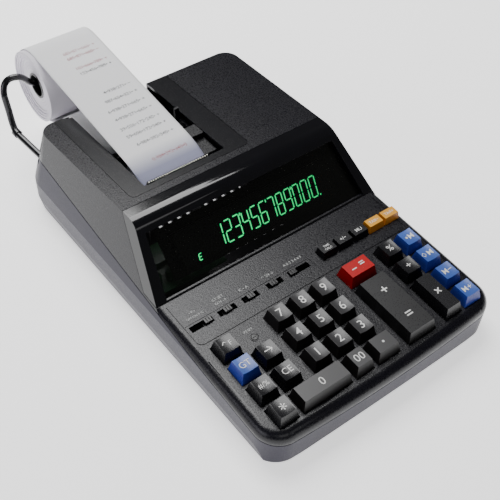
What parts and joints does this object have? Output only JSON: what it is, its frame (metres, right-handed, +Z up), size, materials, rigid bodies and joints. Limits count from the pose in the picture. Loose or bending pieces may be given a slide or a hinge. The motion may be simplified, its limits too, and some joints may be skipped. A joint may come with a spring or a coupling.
{
  "type": "printing calculator",
  "caption": "Desktop printing calculator with sloped keyboard deck, green digital display hood, paper printer and a paper roll on a bent wire arm behind.",
  "frame": {"origin": "on the table plane, below the middle of the whole outline (body, wire arm and paper roll)", "axes": "+Z up, -Y towards the user, +X to the user's right"},
  "size_m": [0.21, 0.4091, 0.0974],
  "materials": {
    "bottom_case": "fine texture",
    "top_cover": "fine texture",
    "display_frame": "gloss",
    "display_window": "smoked",
    "display_tube": "gloss",
    "printer_cover": "satin",
    "steel": "bright",
    "printer_black": "satin",
    "rubber": "matte",
    "ribbon": "matte",
    "arm_black": "semi-gloss",
    "core_black": "satin",
    "paper": "matte",
    "board": "satin",
    "frame_steel": "satin",
    "iron": "satin",
    "key_number": "satin",
    "key_function": "semi-gloss",
    "key_blue": "semi-gloss",
    "key_red": "semi-gloss",
    "key_yellow": "semi-gloss"
  },
  "bodies": {
    "case": {"bottom_case": "bottom_case", "top_cover": "top_cover", "display_frame": "display_frame", "display_window": "display_window", "display_tube": "display_tube", "printer_frame": "printer_black", "paper_web": "paper", "key_frame": "frame_steel", "circuit_boards": "board", "transformer": "iron", "cord_gland": "rubber", "rubber_feet": "rubber", "screws": "steel"},
    "cover": {"printer_cover": "printer_cover", "paper_cutter": "steel"},
    "arm": {"roll_arm": "arm_black"},
    "roll": {"roll_core": "core_black", "paper_roll": "paper"},
    "platen": {"platen_roller": "rubber"},
    "carriage": {"print_carriage": "printer_black"},
    "spool_left": {"ribbon_spool_left": "ribbon"},
    "spool_right": {"ribbon_spool_right": "ribbon"},
    "reset": {"reset_button": "printer_black"},
    "switch_1": {"switch_1": "printer_black"},
    "switch_2": {"switch_2": "printer_black"},
    "switch_3": {"switch_3": "printer_black"},
    "switch_4": {"switch_4": "printer_black"},
    "switch_5": {"switch_5": "printer_black"},
    "key_feed": {"key_feed": "key_function"},
    "key_gt": {"key_gt": "key_blue"},
    "key_nonadd": {"key_nonadd": "key_function"},
    "key_total": {"key_total": "key_function"},
    "key_arrow": {"key_arrow": "key_function"},
    "key_ce": {"key_ce": "key_function"},
    "key_0": {"key_0": "key_number"},
    "key_00": {"key_00": "key_number"},
    "key_dot": {"key_dot": "key_number"},
    "key_1": {"key_1": "key_number"},
    "key_2": {"key_2": "key_number"},
    "key_3": {"key_3": "key_number"},
    "key_4": {"key_4": "key_number"},
    "key_5": {"key_5": "key_number"},
    "key_6": {"key_6": "key_number"},
    "key_7": {"key_7": "key_number"},
    "key_8": {"key_8": "key_number"},
    "key_9": {"key_9": "key_number"},
    "key_minus": {"key_minus": "key_red"},
    "key_plus": {"key_plus": "key_function"},
    "key_percent": {"key_percent": "key_function"},
    "key_divide": {"key_divide": "key_function"},
    "key_multiply": {"key_multiply": "key_function"},
    "key_mem_total": {"key_mem_total": "key_blue"},
    "key_mem_sub": {"key_mem_sub": "key_blue"},
    "key_mem_minus": {"key_mem_minus": "key_blue"},
    "key_mem_plus": {"key_mem_plus": "key_blue"},
    "key_time": {"key_time": "key_function"},
    "key_sign": {"key_sign": "key_function"},
    "key_markup": {"key_markup": "key_function"},
    "key_tax_minus": {"key_tax_minus": "key_yellow"},
    "key_tax_plus": {"key_tax_plus": "key_yellow"}
  },
  "joints": [
    {"name": "arm_swing", "type": "hinge", "parent": "case", "child": "arm", "pos_m": [-0.09, 0.104, 0.049], "axis": [1, 0, 0], "range_deg": [0, 10], "deforming": ["paper_web"]},
    {"name": "roll_spin", "type": "hinge", "parent": "arm", "child": "roll", "pos_m": [-0.033, 0.173, 0.066], "axis": [1, 0, 0], "continuous": true},
    {"name": "cover_lift", "type": "slide", "parent": "case", "child": "cover", "axis": [0, 0, 1], "range_m": [0, 0.03]},
    {"name": "platen_turn", "type": "hinge", "parent": "case", "child": "platen", "pos_m": [-0.028, 0.062, 0.056], "axis": [1, 0, 0], "continuous": true},
    {"name": "carriage_travel", "type": "slide", "parent": "case", "child": "carriage", "axis": [1, 0, 0], "range_m": [-0.02, 0.034]},
    {"name": "ribbon_left_turn", "type": "hinge", "parent": "case", "child": "spool_left", "pos_m": [-0.048, 0.015, 0.0465], "axis": [0, 0, 1], "continuous": true},
    {"name": "ribbon_right_turn", "type": "hinge", "parent": "case", "child": "spool_right", "pos_m": [-0.018, 0.015, 0.0465], "axis": [0, 0, 1], "continuous": true},
    {"name": "switch_1_slide", "type": "slide", "parent": "case", "child": "switch_1", "axis": [1, 0, 0], "range_m": [-0.011, 0.001]},
    {"name": "switch_2_slide", "type": "slide", "parent": "case", "child": "switch_2", "axis": [1, 0, 0], "range_m": [-0.004, 0.004]},
    {"name": "switch_3_slide", "type": "slide", "parent": "case", "child": "switch_3", "axis": [1, 0, 0], "range_m": [-0.0035, 0.0035]},
    {"name": "switch_4_slide", "type": "slide", "parent": "case", "child": "switch_4", "axis": [1, 0, 0], "range_m": [-0.0022, 0.0048]},
    {"name": "switch_5_slide", "type": "slide", "parent": "case", "child": "switch_5", "axis": [1, 0, 0], "range_m": [0, 0.012]},
    {"name": "reset_press", "type": "slide", "parent": "case", "child": "reset", "axis": [0, 0.0454, -0.999], "range_m": [0, 0.0015], "stiffness_N_per_m": 120, "springref_m": -0.001},
    {"name": "key_feed_press", "type": "slide", "parent": "case", "child": "key_feed", "axis": [0, 0.0454, -0.999], "range_m": [0, 0.003], "stiffness_N_per_m": 150, "springref_m": -0.002},
    {"name": "key_gt_press", "type": "slide", "parent": "case", "child": "key_gt", "axis": [0, 0.0454, -0.999], "range_m": [0, 0.003], "stiffness_N_per_m": 150, "springref_m": -0.002},
    {"name": "key_nonadd_press", "type": "slide", "parent": "case", "child": "key_nonadd", "axis": [0, 0.0454, -0.999], "range_m": [0, 0.003], "stiffness_N_per_m": 150, "springref_m": -0.002},
    {"name": "key_total_press", "type": "slide", "parent": "case", "child": "key_total", "axis": [0, 0.0454, -0.999], "range_m": [0, 0.003], "stiffness_N_per_m": 150, "springref_m": -0.002},
    {"name": "key_arrow_press", "type": "slide", "parent": "case", "child": "key_arrow", "axis": [0, 0.0454, -0.999], "range_m": [0, 0.003], "stiffness_N_per_m": 150, "springref_m": -0.002},
    {"name": "key_ce_press", "type": "slide", "parent": "case", "child": "key_ce", "axis": [0, 0.0454, -0.999], "range_m": [0, 0.003], "stiffness_N_per_m": 150, "springref_m": -0.002},
    {"name": "key_0_press", "type": "slide", "parent": "case", "child": "key_0", "axis": [0, 0.0454, -0.999], "range_m": [0, 0.003], "stiffness_N_per_m": 150, "springref_m": -0.002},
    {"name": "key_00_press", "type": "slide", "parent": "case", "child": "key_00", "axis": [0, 0.0454, -0.999], "range_m": [0, 0.003], "stiffness_N_per_m": 150, "springref_m": -0.002},
    {"name": "key_dot_press", "type": "slide", "parent": "case", "child": "key_dot", "axis": [0, 0.0454, -0.999], "range_m": [0, 0.003], "stiffness_N_per_m": 150, "springref_m": -0.002},
    {"name": "key_1_press", "type": "slide", "parent": "case", "child": "key_1", "axis": [0, 0.0454, -0.999], "range_m": [0, 0.003], "stiffness_N_per_m": 150, "springref_m": -0.002},
    {"name": "key_2_press", "type": "slide", "parent": "case", "child": "key_2", "axis": [0, 0.0454, -0.999], "range_m": [0, 0.003], "stiffness_N_per_m": 150, "springref_m": -0.002},
    {"name": "key_3_press", "type": "slide", "parent": "case", "child": "key_3", "axis": [0, 0.0454, -0.999], "range_m": [0, 0.003], "stiffness_N_per_m": 150, "springref_m": -0.002},
    {"name": "key_4_press", "type": "slide", "parent": "case", "child": "key_4", "axis": [0, 0.0454, -0.999], "range_m": [0, 0.003], "stiffness_N_per_m": 150, "springref_m": -0.002},
    {"name": "key_5_press", "type": "slide", "parent": "case", "child": "key_5", "axis": [0, 0.0454, -0.999], "range_m": [0, 0.003], "stiffness_N_per_m": 150, "springref_m": -0.002},
    {"name": "key_6_press", "type": "slide", "parent": "case", "child": "key_6", "axis": [0, 0.0454, -0.999], "range_m": [0, 0.003], "stiffness_N_per_m": 150, "springref_m": -0.002},
    {"name": "key_7_press", "type": "slide", "parent": "case", "child": "key_7", "axis": [0, 0.0454, -0.999], "range_m": [0, 0.003], "stiffness_N_per_m": 150, "springref_m": -0.002},
    {"name": "key_8_press", "type": "slide", "parent": "case", "child": "key_8", "axis": [0, 0.0454, -0.999], "range_m": [0, 0.003], "stiffness_N_per_m": 150, "springref_m": -0.002},
    {"name": "key_9_press", "type": "slide", "parent": "case", "child": "key_9", "axis": [0, 0.0454, -0.999], "range_m": [0, 0.003], "stiffness_N_per_m": 150, "springref_m": -0.002},
    {"name": "key_minus_press", "type": "slide", "parent": "case", "child": "key_minus", "axis": [0, 0.0454, -0.999], "range_m": [0, 0.003], "stiffness_N_per_m": 150, "springref_m": -0.002},
    {"name": "key_plus_press", "type": "slide", "parent": "case", "child": "key_plus", "axis": [0, 0.0454, -0.999], "range_m": [0, 0.003], "stiffness_N_per_m": 150, "springref_m": -0.002},
    {"name": "key_percent_press", "type": "slide", "parent": "case", "child": "key_percent", "axis": [0, 0.0454, -0.999], "range_m": [0, 0.003], "stiffness_N_per_m": 150, "springref_m": -0.002},
    {"name": "key_divide_press", "type": "slide", "parent": "case", "child": "key_divide", "axis": [0, 0.0454, -0.999], "range_m": [0, 0.003], "stiffness_N_per_m": 150, "springref_m": -0.002},
    {"name": "key_multiply_press", "type": "slide", "parent": "case", "child": "key_multiply", "axis": [0, 0.0454, -0.999], "range_m": [0, 0.003], "stiffness_N_per_m": 150, "springref_m": -0.002},
    {"name": "key_mem_total_press", "type": "slide", "parent": "case", "child": "key_mem_total", "axis": [0, 0.0454, -0.999], "range_m": [0, 0.003], "stiffness_N_per_m": 150, "springref_m": -0.002},
    {"name": "key_mem_sub_press", "type": "slide", "parent": "case", "child": "key_mem_sub", "axis": [0, 0.0454, -0.999], "range_m": [0, 0.003], "stiffness_N_per_m": 150, "springref_m": -0.002},
    {"name": "key_mem_minus_press", "type": "slide", "parent": "case", "child": "key_mem_minus", "axis": [0, 0.0454, -0.999], "range_m": [0, 0.003], "stiffness_N_per_m": 150, "springref_m": -0.002},
    {"name": "key_mem_plus_press", "type": "slide", "parent": "case", "child": "key_mem_plus", "axis": [0, 0.0454, -0.999], "range_m": [0, 0.003], "stiffness_N_per_m": 150, "springref_m": -0.002},
    {"name": "key_time_press", "type": "slide", "parent": "case", "child": "key_time", "axis": [0, 0.0454, -0.999], "range_m": [0, 0.003], "stiffness_N_per_m": 150, "springref_m": -0.002},
    {"name": "key_sign_press", "type": "slide", "parent": "case", "child": "key_sign", "axis": [0, 0.0454, -0.999], "range_m": [0, 0.003], "stiffness_N_per_m": 150, "springref_m": -0.002},
    {"name": "key_markup_press", "type": "slide", "parent": "case", "child": "key_markup", "axis": [0, 0.0454, -0.999], "range_m": [0, 0.003], "stiffness_N_per_m": 150, "springref_m": -0.002},
    {"name": "key_tax_minus_press", "type": "slide", "parent": "case", "child": "key_tax_minus", "axis": [0, 0.0454, -0.999], "range_m": [0, 0.003], "stiffness_N_per_m": 150, "springref_m": -0.002},
    {"name": "key_tax_plus_press", "type": "slide", "parent": "case", "child": "key_tax_plus", "axis": [0, 0.0454, -0.999], "range_m": [0, 0.003], "stiffness_N_per_m": 150, "springref_m": -0.002}
  ],
  "couplings": [
    {"joint": "ribbon_right_turn", "follows": "ribbon_left_turn", "ratio": 1}
  ]
}
